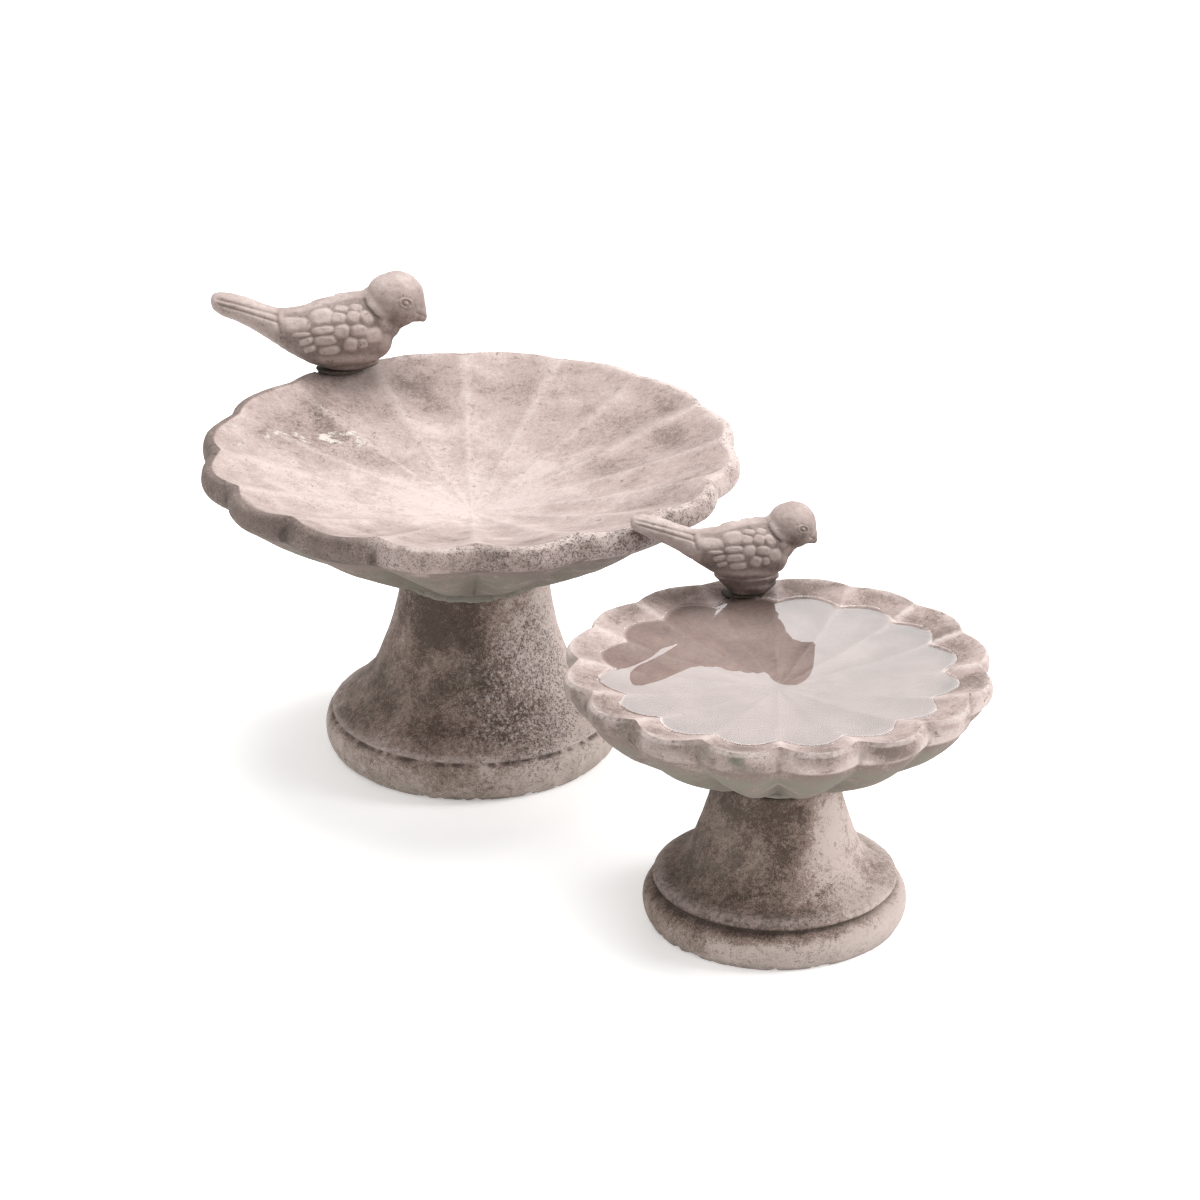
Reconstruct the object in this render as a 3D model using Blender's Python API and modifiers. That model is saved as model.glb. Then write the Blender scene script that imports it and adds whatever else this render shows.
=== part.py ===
"""A pair of scalloped cast-stone bird baths, large and small, each with a bird on its rim.

Each bath is a turned pedestal, a ring of mortar, a fluted bowl whose spigot stands in the pedestal,
a small mortar bed on the rim, a steel pin and a bird. Metres, +Z up, ground at z = 0, and the origin
is on the large bath's axis. Angles on a bowl count from -Y towards +X.
"""

from math import cos, pi, radians, sin

import bmesh
import bpy
from mathutils import Matrix, Vector

MM = 0.001
GAP = 0.3 * MM  # left between pieces that touch
COLLECTION = "bird_bath_pair"
LOBES = 16
LOBE_STEPS = 4  # facets across one lobe
ROUND_STEPS = 48  # facets round a pedestal or a mortar ring
PIN_STEPS = 12
BLEED = 5 * MM  # how far a cutter runs past the face that it opens

# Driving dimensions of the two baths, in millimetres. An outline is a list of (radius, height).
LARGE = {
    "name": "large",
    "axis": (0, 0),
    "rim_radius": 151.4,
    "rim_height": 182.6,
    "basin_depth": 39.6,
    "hub_drop": 72.0,  # from the rim's crest down to the bowl's hub
    "crest_share": 0.962,  # crest radius / rim radius
    "notch_depth": 4.0,
    "pocket_depth": 3.2,
    "notch_angle": 3.0,
    "bead_radius": 44.0,
    "spigot_radius": 18.0,
    "pin_radius": 2.0,
    "pin_depth": 9.0,
    "bird_angle": 213.6,
    "bird_radius": 142.0,
    "bird_yaw": 5.0,
    "bird_pitch": 0.0,
    "bird_scale": 1.0,
    "tail_stretch": 1.0,
    "bird_rise": 0.0,  # of the bird's base above the rim's crest
    "keel_height": 0.0,  # of the boat-shaped foot under the bird's belly
    "seat_depth": 3.0,
    "seat_half": (13.0, 7.5),  # at the bottom, along the bird and across it
    "seat_flare": 0.7,  # of each half, for each unit of height
    "under": [(0.925, 0.29), (0.85, 0.405), (0.76, 0.525), (0.64, 0.665), (0.52, 0.8), (0.41, 0.905)],
    "pedestal": [
        (41.9, 106.3), (43.4, 92), (47.1, 75), (51.2, 62), (55.0, 52), (59.2, 44), (64.4, 38),
        (70.8, 32), (77, 27), (80.6, 24.3), (80.0, 22.9), (82.4, 21.2), (84.2, 15.5), (83.9, 9.5),
        (81.6, 3.8), (77.8, 0),
    ],
}
SMALL = {
    "name": "small",
    "axis": (164.4, -209),
    "rim_radius": 112.9,
    "rim_height": 146.4,
    "basin_depth": 28.0,
    "hub_drop": 60.2,
    "crest_share": 0.982,
    "notch_depth": 5.0,
    "pocket_depth": 3.4,
    "notch_angle": -1.5,
    "bead_radius": 33.8,
    "spigot_radius": 14.0,
    "pin_radius": 1.5,
    "pin_depth": 7.0,
    "bird_angle": 189.8,
    "bird_radius": 95.5,
    "bird_yaw": 6.0,
    "bird_pitch": 2.5,
    "bird_scale": 0.77,
    "tail_stretch": 1.16,
    "bird_rise": -3.3,
    "keel_height": 8.0,
    "seat_depth": 5.8,
    "seat_half": (9.5, 4.5),
    "seat_flare": 0.7,
    "under": [(0.945, 0.31), (0.885, 0.43), (0.8, 0.56), (0.68, 0.7), (0.56, 0.82), (0.44, 0.925)],
    "pedestal": [
        (33.0, 82.2), (33.9, 76), (36.4, 66), (40.2, 54), (43.8, 44), (47.0, 36.5), (52.6, 30.8),
        (60.6, 26.8), (64.6, 24.2), (64.9, 22.2), (63.0, 20.3), (66.4, 18.3), (69.4, 14.5),
        (70.3, 9.8), (69.4, 4.6), (67.0, 0),
    ],
}
BED_THICKNESS = 4.0  # mortar between pedestal and bowl
SOCKET_CLEARANCE = 1.5
SPIGOT_LENGTH = 12.0
SOCKET_SPARE = 1.6  # below the spigot

# The rim's band below its crest: (radius / rim radius, drop / hub drop). A bath's "under" goes on to the hub.
LIP_OUTLINE = [(0.993, 0.03), (0.999, 0.07), (1.0, 0.135), (0.99, 0.19), (0.968, 0.213)]
HUB_SHARE = 0.305  # hub radius / rim radius
BASIN_POWER = 1.2  # 1 is a straight cone, 2 is a bowl
BASIN_STEPS = (0.1, 0.26, 0.44, 0.62, 0.78, 0.9, 0.965)

# The bird at scale 1, beak towards +X, z from its flat base: (x, z, half height, half width).
BODY_SECTIONS = [
    (-73.5, 42.2, 3.4, 5.0),
    (-69.5, 41.6, 7.0, 8.4),
    (-58, 38.2, 8.5, 9.6),
    (-48, 33.1, 9.2, 10.4),
    (-38, 27.2, 10.2, 12.2),
    (-28.5, 22.6, 13.4, 15.2),
    (-18.5, 20.8, 17.6, 18.6),
    (-8, 20.6, 21.4, 20.6),
    (4, 22.0, 23.2, 21.2),
    (14, 24.0, 22.6, 20.0),
    (24, 23.4, 19.0, 17.4),
    (32, 20.6, 10.4, 11.0),
]
SECTION_STEPS = 10
CAGE_SWELL = 1.05  # makes up for what subdivision takes off the cage
TAIL_ROOT = -28.5  # where a stretched tail starts
HEAD_CENTRE = (33.7, 0, 40.3)
HEAD_RADIUS = 16.7
NECK_CENTRE = (21.0, 0, 30.5)
NECK_RADIUS = 17.0
BEAK_TIP = (50.8, 0, 27.0)
BEAK_RADII = (10.0, 2.2)
PIN_REACH = 12.0  # of the pin into the bird above any keel, at scale 1
KEEL_OVERLAP = 3.0  # of the keel's top inside the belly

STONE_ROUGHNESS = 0.9
COLORS = {
    "pedestal": (0.33, 0.27, 0.24),
    "bowl": (0.52, 0.44, 0.41),
    "mortar": (0.56, 0.51, 0.46),
    "bird": (0.47, 0.38, 0.36),
    "steel": (0.5, 0.5, 0.52),
}


def clear_scene():
    for obj in list(bpy.data.objects):
        bpy.data.objects.remove(obj)


def collection(name):
    made = bpy.data.collections.new(name)
    bpy.context.scene.collection.children.link(made)
    return made


def material(name, color, roughness=STONE_ROUGHNESS, metallic=0.0):
    made = bpy.data.materials.new(name)
    made.use_nodes = True
    shader = made.node_tree.nodes["Principled BSDF"]
    shader.inputs["Base Color"].default_value = (*color, 1)
    shader.inputs["Roughness"].default_value = roughness
    shader.inputs["Metallic"].default_value = metallic
    return made


def add_object(name, mesh, group, location=(0, 0, 0), rotation=(0, 0, 0)):
    obj = bpy.data.objects.new(name, mesh)
    obj.location = location
    obj.rotation_euler = rotation
    group.objects.link(obj)
    return obj


def as_cutter(obj):
    obj.hide_render = True
    obj.display_type = "WIRE"
    return obj


def turned(name, outline, group, location=(0, 0, 0), steps=ROUND_STEPS, closed=False):
    """A Screw-turned solid. The outline runs down its outer side; a closed one makes a ring."""
    mesh = bpy.data.meshes.new(name)
    points = [(r * MM, 0, z * MM) for r, z in outline]
    edges = [(i, i + 1) for i in range(len(points) - 1)]
    if closed:
        edges.append((len(points) - 1, 0))
    mesh.from_pydata(points, edges, [])
    obj = add_object(name, mesh, group, location)
    screw = obj.modifiers.new("turn", "SCREW")
    screw.steps = steps
    screw.render_steps = steps
    screw.use_merge_vertices = True
    screw.merge_threshold = 0.00001
    screw.use_normal_calculate = True
    return obj


def realise(obj, group):
    """The object as a plain mesh, with its modifiers applied."""
    graph = bpy.context.evaluated_depsgraph_get()
    mesh = bpy.data.meshes.new_from_object(obj.evaluated_get(graph))
    made = add_object(obj.name + "_mesh", mesh, group)
    made.matrix_world = obj.matrix_world.copy()
    name = obj.name
    bpy.data.objects.remove(obj)
    made.name = name
    return made


def face_outward(mesh):
    work = bmesh.new()
    work.from_mesh(mesh)
    bmesh.ops.recalc_face_normals(work, faces=work.faces)
    work.to_mesh(mesh)
    work.free()


def combine(obj, other, operation):
    boolean = obj.modifiers.new(operation.lower(), "BOOLEAN")
    boolean.operation = operation
    boolean.object = other


def column(name, halves, low, high, group, location, yaw=0, steps=24, flare=0.0):
    """An upright elliptical column between two heights. Both its halves grow by flare as it rises."""
    mesh = bpy.data.meshes.new(name)
    work = bmesh.new()
    bmesh.ops.create_cone(
        work, cap_ends=True, segments=steps, radius1=1, radius2=1, depth=high - low
    )
    bmesh.ops.translate(work, vec=(0, 0, (low + high) / 2), verts=work.verts)
    for vertex in work.verts:
        grown = flare * (vertex.co.z - low)
        vertex.co.x *= halves[0] + grown
        vertex.co.y *= halves[1] + grown
    work.to_mesh(mesh)
    work.free()
    return add_object(name, mesh, group, location, (0, 0, yaw))


def bowl_outline(bath):
    """The bowl through the middle of a lobe, from the basin's centre out, down and in to the spigot."""
    rim, crest = bath["rim_radius"], bath["rim_height"]
    crest_radius = bath["crest_share"] * rim
    floor = crest - bath["basin_depth"]
    outline = [(0, floor)]
    for share in BASIN_STEPS:
        outline.append((share * crest_radius, floor + bath["basin_depth"] * share**BASIN_POWER))
    outline.append((crest_radius, crest))
    for share, drop in LIP_OUTLINE + bath["under"]:
        outline.append((share * rim, crest - drop * bath["hub_drop"]))
    hub = crest - bath["hub_drop"]
    outline.append((HUB_SHARE * rim, hub))
    outline.append((bath["spigot_radius"], hub))
    outline.append((bath["spigot_radius"] - 1, hub - SPIGOT_LENGTH))
    outline.append((0, hub - SPIGOT_LENGTH))
    return outline


def flute(mesh, bath):
    """Draws the turned bowl in at the notches between lobes, and dishes each lobe inside."""
    rim, crest = bath["rim_radius"] * MM, bath["rim_height"] * MM
    depth, hub = bath["basin_depth"] * MM, HUB_SHARE * rim
    crest_radius = bath["crest_share"] * rim
    for vertex in mesh.vertices:
        flat = Vector((vertex.co.x, vertex.co.y, 0))
        radius = flat.length
        if radius < 0.001:
            continue
        angle = Vector((1, 0)).angle_signed(flat.xy, 0)
        lobe = abs(sin(LOBES * angle / 2))
        share = min(radius / crest_radius, 1)
        basin = crest - depth * (1 - share**BASIN_POWER)
        if radius < crest_radius * 0.999 and vertex.co.z > basin - 1 * MM:
            drawn = share**3
            vertex.co.z -= bath["pocket_depth"] * MM * lobe * share * (1 - share**6)
        else:
            drawn = max(0, min(1, (radius - hub) / (0.35 * rim)))
        flat *= 1 - bath["notch_depth"] * MM * (1 - lobe) * drawn / radius
        vertex.co.x, vertex.co.y = flat.xy


def on_bowl(bath, radius, angle):
    """The point of the plan at a radius from the bath's axis, at an angle from -Y towards +X."""
    x, y = bath["axis"]
    turn = radians(angle)
    return Vector(((x + radius * sin(turn)) * MM, (y - radius * cos(turn)) * MM, 0))


def make_pedestal(bath, parts):
    radius = bath["spigot_radius"] + SOCKET_CLEARANCE
    top = bath["pedestal"][0][1]
    depth = SPIGOT_LENGTH - BED_THICKNESS + SOCKET_SPARE
    socket = [(0, top - depth), (radius, top - depth), (radius, top)]
    x, y = bath["axis"]
    outline = socket + bath["pedestal"] + [(0, 0)]
    return turned(f"{bath['name']}_pedestal", outline, parts, (x * MM, y * MM, 0))


def make_bowl_mortar(bath, parts):
    """The ring of mortar between pedestal and bowl, its outer edge a rounded bead."""
    low = bath["pedestal"][0][1] + GAP / MM
    high = bath["rim_height"] - bath["hub_drop"] - GAP / MM
    inner = bath["spigot_radius"] + SOCKET_CLEARANCE
    outer, middle = bath["bead_radius"], (low + high) / 2
    outline = [(inner, high), (outer - 1, high), (outer, middle), (outer - 1, low), (inner, low)]
    x, y = bath["axis"]
    name = f"{bath['name']}_bowl_mortar"
    ring = realise(turned(name, outline, parts, (x * MM, y * MM, 0), closed=True), parts)
    face_outward(ring.data)
    return ring


def make_bowl(bath, parts, cutters):
    x, y = bath["axis"]
    name = f"{bath['name']}_bowl"
    bowl = turned(name, bowl_outline(bath), parts, (x * MM, y * MM, 0), LOBES * LOBE_STEPS)
    bowl = realise(bowl, parts)
    flute(bowl.data, bath)
    bowl.rotation_euler.z = radians(bath["notch_angle"] - 90)
    place, yaw = on_bowl(bath, bath["bird_radius"], bath["bird_angle"]), radians(bath["bird_yaw"])
    seat = (bath["rim_height"] - bath["seat_depth"]) * MM
    halves = [half * MM for half in bath["seat_half"]]
    top = bath["rim_height"] * MM + BLEED
    cut = column(f"{name}_seat", halves, seat, top, cutters, place, yaw, flare=bath["seat_flare"])
    combine(bowl, as_cutter(cut), "DIFFERENCE")
    reach = bath["pin_radius"] * MM + GAP
    low = seat - bath["pin_depth"] * MM - GAP
    hole = column(f"{name}_pin_hole", (reach, reach), low, top, cutters, place, yaw, PIN_STEPS)
    combine(bowl, as_cutter(hole), "DIFFERENCE")
    return bowl


def make_bird_mortar(bath, parts, cutters):
    """The bed in the seat, a little smaller than it, with a hole for the pin."""
    place, yaw = on_bowl(bath, bath["bird_radius"], bath["bird_angle"]), radians(bath["bird_yaw"])
    seat = (bath["rim_height"] - bath["seat_depth"]) * MM
    top = (bath["rim_height"] + bath["bird_rise"]) * MM
    halves = [half * MM - GAP for half in bath["seat_half"]]
    name = f"{bath['name']}_bird_mortar"
    bed = column(name, halves, seat + GAP, top, parts, place, yaw, flare=bath["seat_flare"])
    reach = bath["pin_radius"] * MM + GAP
    ends = (seat - BLEED, top + BLEED)
    hole = column(f"{name}_hole", (reach, reach), *ends, cutters, place, yaw, PIN_STEPS)
    combine(bed, as_cutter(hole), "DIFFERENCE")
    return bed


def make_bird_pin(bath, parts):
    place = on_bowl(bath, bath["bird_radius"], bath["bird_angle"])
    low = (bath["rim_height"] - bath["seat_depth"] - bath["pin_depth"]) * MM
    reach = bath["keel_height"] + PIN_REACH * bath["bird_scale"]
    high = (bath["rim_height"] + bath["bird_rise"] + reach) * MM
    radius = bath["pin_radius"] * MM
    return column(f"{bath['name']}_bird_pin", (radius, radius), low, high, parts, place, steps=PIN_STEPS)


def body_cage(tail_stretch):
    """The bird's tail, body and breast as a loft of elliptical sections, closed at both ends."""
    work = bmesh.new()
    rings = []
    for x, z, high, wide in BODY_SECTIONS:
        ring = []
        x = TAIL_ROOT + (x - TAIL_ROOT) * tail_stretch if x < TAIL_ROOT else x
        for step in range(SECTION_STEPS):
            turn = 2 * pi * step / SECTION_STEPS
            side, up = CAGE_SWELL * wide * cos(turn), CAGE_SWELL * high * sin(turn)
            ring.append(work.verts.new((x * MM, side * MM, (z + up) * MM)))
        rings.append(ring)
    for ring, following in zip(rings, rings[1:]):
        for step in range(SECTION_STEPS):
            after = (step + 1) % SECTION_STEPS
            work.faces.new((ring[step], ring[after], following[after], following[step]))
    work.faces.new(rings[0])
    work.faces.new(rings[-1])
    bmesh.ops.recalc_face_normals(work, faces=work.faces)
    mesh = bpy.data.meshes.new("body")
    work.to_mesh(mesh)
    work.free()
    return mesh


def ball(name, centre, radius, group, steps=16):
    mesh = bpy.data.meshes.new(name)
    work = bmesh.new()
    bmesh.ops.create_uvsphere(work, u_segments=steps, v_segments=steps // 2 + 2, radius=radius * MM)
    bmesh.ops.translate(work, vec=Vector(centre) * MM, verts=work.verts)
    work.to_mesh(mesh)
    work.free()
    return add_object(name, mesh, group)


def beak(name, group):
    """A blunt cone from inside the head to the beak's tip."""
    start, tip = Vector(HEAD_CENTRE) * MM, Vector(BEAK_TIP) * MM
    along = tip - start
    mesh = bpy.data.meshes.new(name)
    work = bmesh.new()
    bmesh.ops.create_cone(
        work,
        cap_ends=True,
        segments=12,
        radius1=BEAK_RADII[0] * MM,
        radius2=BEAK_RADII[1] * MM,
        depth=along.length,
        matrix=Matrix.Translation(start + along / 2) @ along.to_track_quat("Z", "Y").to_matrix().to_4x4(),
    )
    work.to_mesh(mesh)
    work.free()
    return add_object(name, mesh, group)


def make_keel(bath, cutters, place, base):
    """The boat-shaped foot of a bird that sits down in its seat. It follows the seat's walls."""
    low = base - (bath["rim_height"] - bath["seat_depth"]) * MM
    halves = [half * MM - GAP + bath["seat_flare"] * low for half in bath["seat_half"]]
    high = base + (bath["keel_height"] + KEEL_OVERLAP) * MM
    yaw, name = radians(bath["bird_yaw"]), f"{bath['name']}_bird_keel"
    return column(name, halves, base, high, cutters, place, yaw, flare=bath["seat_flare"])


def make_bird(bath, parts, cutters):
    """The bird, cast in one: body, neck, head, beak and any keel, with a flat base bored for a pin."""
    name, scale, keel_height = f"{bath['name']}_bird", bath["bird_scale"], bath["keel_height"] * MM
    place = on_bowl(bath, bath["bird_radius"], bath["bird_angle"])
    base = (bath["rim_height"] + bath["bird_rise"]) * MM + GAP
    holder = bpy.data.objects.new(f"{name}_place", None)
    parts.objects.link(holder)
    holder.location = (place.x, place.y, base)
    holder.rotation_euler.z = radians(bath["bird_yaw"])
    holder.scale = (scale, scale, scale)

    bird = add_object(name, body_cage(bath["tail_stretch"]), parts)
    smooth = bird.modifiers.new("soften", "SUBSURF")
    smooth.levels = 1
    smooth.render_levels = 1
    neck = ball(f"{name}_neck", NECK_CENTRE, NECK_RADIUS, cutters)
    head = ball(f"{name}_head", HEAD_CENTRE, HEAD_RADIUS, cutters)
    joined = [neck, head, beak(f"{name}_beak", cutters)]
    for piece in joined:
        combine(bird, as_cutter(piece), "UNION")
    for piece in [bird, *joined]:
        piece.parent = holder
        piece.location.z = keel_height / scale
        piece.rotation_euler.y = radians(bath["bird_pitch"])
    if keel_height:
        combine(bird, as_cutter(make_keel(bath, cutters, place, base)), "UNION")

    reach = 60 * MM
    below = column(f"{name}_base_cut", (reach, reach), -reach, 0, cutters, (0, 0, 0))
    radius = (bath["pin_radius"] * MM + GAP) / scale
    bored = PIN_REACH * MM + (keel_height + GAP) / scale
    ends = (-BLEED, bored)
    hole = column(f"{name}_pin_hole", (radius, radius), *ends, cutters, (0, 0, 0), steps=PIN_STEPS)
    for cutter in (below, hole):
        cutter.parent = holder
        combine(bird, as_cutter(cutter), "DIFFERENCE")
    return bird


def make_bath(bath, parts, cutters):
    stones = {
        "pedestal": make_pedestal(bath, parts),
        "mortar": make_bowl_mortar(bath, parts),
        "bowl": make_bowl(bath, parts, cutters),
        "bird": make_bird(bath, parts, cutters),
    }
    for kind, obj in stones.items():
        obj.data.materials.append(material(obj.name, COLORS[kind]))
    bed = make_bird_mortar(bath, parts, cutters)
    bed.data.materials.append(material(bed.name, COLORS["mortar"]))
    pin = make_bird_pin(bath, parts)
    pin.data.materials.append(material(pin.name, COLORS["steel"], roughness=0.35, metallic=1.0))
    for obj in [*stones.values(), bed, pin]:
        obj.data.shade_smooth()
        obj.data.set_sharp_from_angle(angle=radians(35))


def main():
    clear_scene()
    parts, cutters = collection(COLLECTION), collection("cutters")
    for bath in (LARGE, SMALL):
        make_bath(bath, parts, cutters)


main()
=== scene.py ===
"""The looks of the pair of bird baths: weathered and stained cast stone, and water in the small bowl.

Metres, +Z up. Angles round a bath count in degrees from -Y, its front, towards +X. Stains, pits, rubbing
and painted light and shade are worked out on the surface as numbers from 0 to 1, stored on the mesh, and read
by the material.
"""

from math import atan, cos, pi, radians, sin, tan

import bmesh
import bpy
import numpy as np
from mathutils import Matrix, Vector


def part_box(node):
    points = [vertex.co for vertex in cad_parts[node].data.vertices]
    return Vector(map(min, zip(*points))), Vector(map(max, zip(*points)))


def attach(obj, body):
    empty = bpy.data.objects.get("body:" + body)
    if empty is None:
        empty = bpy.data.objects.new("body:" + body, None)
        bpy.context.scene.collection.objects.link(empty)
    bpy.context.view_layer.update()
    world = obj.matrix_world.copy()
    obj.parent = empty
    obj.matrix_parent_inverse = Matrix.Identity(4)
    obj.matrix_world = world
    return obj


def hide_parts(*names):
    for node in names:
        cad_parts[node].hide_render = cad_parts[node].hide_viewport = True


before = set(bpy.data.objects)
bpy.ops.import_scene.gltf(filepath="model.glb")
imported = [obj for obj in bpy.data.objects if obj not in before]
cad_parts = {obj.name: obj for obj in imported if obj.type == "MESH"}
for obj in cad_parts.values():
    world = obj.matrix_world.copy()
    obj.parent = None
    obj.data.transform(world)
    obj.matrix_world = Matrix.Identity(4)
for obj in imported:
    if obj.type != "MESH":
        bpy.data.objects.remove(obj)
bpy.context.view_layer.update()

MM = 0.001
LOBES = 16
TURN_STEPS = 512  # points round a bowl or a pedestal
MORTAR_STEPS, MORTAR_RINGS = 360, 20  # points round a ring of mortar, and round its section
WATER_STEPS = 320
BASIN_RINGS = 84
SKIN = 0.35 * MM  # how far the stone's surface starts inside the CAD solid, so that lumps stay in its box

CAMERA_PLACE = (0.0721, -2.4248, 1.1645)
CAMERA_PITCH = 66.05  # degrees up from straight down
CAMERA_LENS = 141.2

# The bowl's section at the middle of a lobe, as shares of the rim's radius and of the drop to the hub.
LIP = [(0.985, 0.008), (0.994, 0.032), (0.999, 0.07), (1.0, 0.135), (0.991, 0.19), (0.972, 0.214)]
BATHS = {
    "large": {
        "basin_depth": 39.6 * MM,
        "crest_share": 0.962,
        "shelf": 0.0,
        "notch_depth": 5.2 * MM,
        "pocket_depth": 3.2 * MM,
        "notch_angle": 3.0,
        "hub_drop": 72.0 * MM,
        "seat_drop": 3.0 * MM,
        "under": [(0.925, 0.29), (0.85, 0.405), (0.76, 0.525), (0.64, 0.665), (0.52, 0.8), (0.41, 0.905)],
        "bird_yaw": 5.0,
        "bird_pitch": 0.0,
        "bird_scale": 1.0,
        "bird_keel": 0.0,
        "tail_stretch": 1.0,
        "bird_base": [((5.0, 0, 2.6), (18.5, 11.5, 3.4))],
    },
    "small": {
        "basin_depth": 28.0 * MM,
        "crest_share": 0.982,
        "shelf": 1.7 * MM,  # how much higher the basin lies just inside the crest than an even slope would
        "notch_depth": 5.6 * MM,
        "pocket_depth": 2.5 * MM,
        "notch_angle": -1.5,
        "hub_drop": 60.2 * MM,
        "seat_drop": 5.8 * MM,
        "under": [(0.945, 0.31), (0.885, 0.43), (0.8, 0.56), (0.68, 0.7), (0.56, 0.82), (0.44, 0.925)],
        "bird_yaw": 6.0,
        "bird_pitch": 2.5,
        "bird_scale": 0.77,
        "bird_keel": 8.0 * MM,
        "tail_stretch": 1.16,
        "bird_base": [
            ((3.5, 0, 2.5), (23, 14, 6)),
            ((6, 0, -3), (18.5, 12.5, 6)),
            ((7.5, 0, -6.6), (14, 10, 4.4)),
        ],
    },
}
HUB_SHARE = 0.305
BASIN_POWER = 1.2
SPIGOT_LENGTH = 12 * MM
NOTCH_SOFTNESS = 0.07  # 0 makes the notches sharp
CREST_NOTCH = 1.35  # how much deeper the front notches are at the crest than on the band below it
CREST_DIP = 0.9 * MM  # of the crest at the middle of a lobe
FLUTE = 5.0 * MM  # depth of the creases that carry the notches on under the bowl
NECK_LEAN = 1.6 * MM  # of the large pedestal's top, sideways
WATER_DROP = 5.2 * MM  # of the water below the small bowl's crest
CREEP_HEIGHT, CREEP_WIDTH = 0.7 * MM, 5 * MM  # how the water's edge curves up the stone
WATER_BITE, WATER_SINK = 0.8 * MM, 1.2 * MM  # how far the water goes into the stone, sideways and down
GROOVE_WIDTH = 1.3 * MM  # of the groove above a foot


# ---------- noise ----------

def lattice(cells, seed):
    """A repeatable value from 0 to 1 for each whole-number point."""
    x, y, z = (cells[..., axis].astype(np.int64) for axis in range(3))
    mixed = (x * 73856093) ^ (y * 19349663) ^ (z * 83492791) ^ (seed * 15485863)
    mixed = ((mixed ^ (mixed >> 13)) * 1274126177) & 0x7FFFFFFF
    mixed ^= mixed >> 15
    mixed = (mixed * 2246822519) & 0x7FFFFFFF
    return ((mixed >> 7) & 0xFFFF) / 0xFFFF


def noise(points, size, seed=0):
    """Smooth noise from -1 to 1 whose lumps are about size across."""
    place = points / size
    cell = np.floor(place).astype(np.int64)
    share = place - cell
    share = share * share * (3 - 2 * share)
    total = np.zeros(len(points))
    for corner in np.ndindex(2, 2, 2):
        weight = np.prod(np.where(corner, share, 1 - share), axis=1)
        total += weight * lattice(cell + corner, seed)
    return 2 * total - 1


def fractal(points, size, seed=0, octaves=4):
    """Noise with finer noise on it, each octave half the size and strength of the last."""
    total, strength, most = np.zeros(len(points)), 1.0, 0.0
    for octave in range(octaves):
        total += strength * noise(points, size / 2**octave, seed + octave)
        most += strength
        strength /= 2
    return total / most


def pits(points, spacing, radii, share, seed):
    """The depth, from 0 to 1, of round pits. share is the part of the cells, spacing wide, that hold one."""
    place = points / spacing
    cell = np.floor(place).astype(np.int64)
    depth = np.zeros(len(points))
    for offset in np.ndindex(3, 3, 3):
        near = cell + np.array(offset) - 1
        there = lattice(near, seed + 4) < share
        which = np.flatnonzero(there)
        near = near[which]
        centre = near + np.stack([lattice(near, seed + axis) for axis in range(3)], axis=1)
        radius = (radii[0] + (radii[1] - radii[0]) * lattice(near, seed + 3) ** 2) / spacing
        away = np.linalg.norm(place[which] - centre, axis=1) / radius
        depth[which] = np.maximum(depth[which], np.clip(1 - away**2, 0, 1))
    return depth


def smooth(low, high, values):
    """0 below low and 1 above high, with a smooth rise between; falls instead where low is over high."""
    share = np.clip((values - low) / (high - low), 0, 1)
    return share * share * (3 - 2 * share)


def one_side(low, high, angle):
    """Rises from 0 to 1 between two angles, and fades out again round the back."""
    return smooth(low, high, angle) * smooth(178, 130, np.abs(angle))


def spot(points, centre, size):
    """A soft round patch: 1 at its centre, and fading over size."""
    return np.exp(-(((points - centre) / size) ** 2).sum(axis=1))


# ---------- places ----------

def turns(count):
    """Angles in radians, evenly spaced from the front."""
    return 2 * pi * np.arange(count) / count


def ring_at(turn, radius, height):
    """Points round the z axis. radius and height may be numbers or arrays."""
    return np.stack([radius * np.sin(turn), -radius * np.cos(turn), height + 0 * turn], axis=1)


def patches(bath, points):
    """A function for soft patches on points: angle in degrees, and radius, height and size in millimetres."""
    def at(angle, radius, height, size):
        return spot(points, around(bath, angle, radius * MM, height * MM), size * MM)
    return at


def vertices_of(node):
    return read(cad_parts[node].data, "co")


def measure(name):
    """A bath's facts: those listed above, and its axis and sizes as the frame has them."""
    bath = dict(BATHS[name], name=name)
    low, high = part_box(f"{name}_pedestal")
    bath["axis"] = np.array([(low.x + high.x) / 2, (low.y + high.y) / 2, 0])
    bowl = vertices_of(f"{name}_bowl") - bath["axis"]
    bath["rim"] = np.hypot(bowl[:, 0], bowl[:, 1]).max() - SKIN
    bath["crest"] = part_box(f"{name}_bowl")[1].z - SKIN
    bath["neck"] = high.z
    return bath


def around(bath, angle, radius, height):
    """The point at an angle round the bath, a distance from its axis and a height."""
    turn = radians(angle)
    return bath["axis"] + np.array([radius * sin(turn), -radius * cos(turn), height])


def basin_height(bath, radius, turn):
    """Height of the bowl's inner surface. turn is in radians from the front, and may be an array."""
    share = np.minimum(radius / (bath["crest_share"] * bath["rim"]), 1)
    height = bath["crest"] - bath["basin_depth"] * (1 - share**BASIN_POWER)
    height = height + bath["shelf"] * smooth(0.5, 0.8, share) * smooth(1, 0.86, share)
    return height - bath["pocket_depth"] * lobe_of(bath, turn) * share * (1 - share**6)


def lobe_of(bath, turn):
    """0 at a notch between lobes and 1 at the middle of a lobe."""
    wave = np.sin(LOBES * (turn - radians(bath["notch_angle"])) / 2)
    soft = NOTCH_SOFTNESS
    return (np.sqrt(wave**2 + soft**2) - soft) / (np.sqrt(1 + soft**2) - soft)


# ---------- meshes ----------

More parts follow.
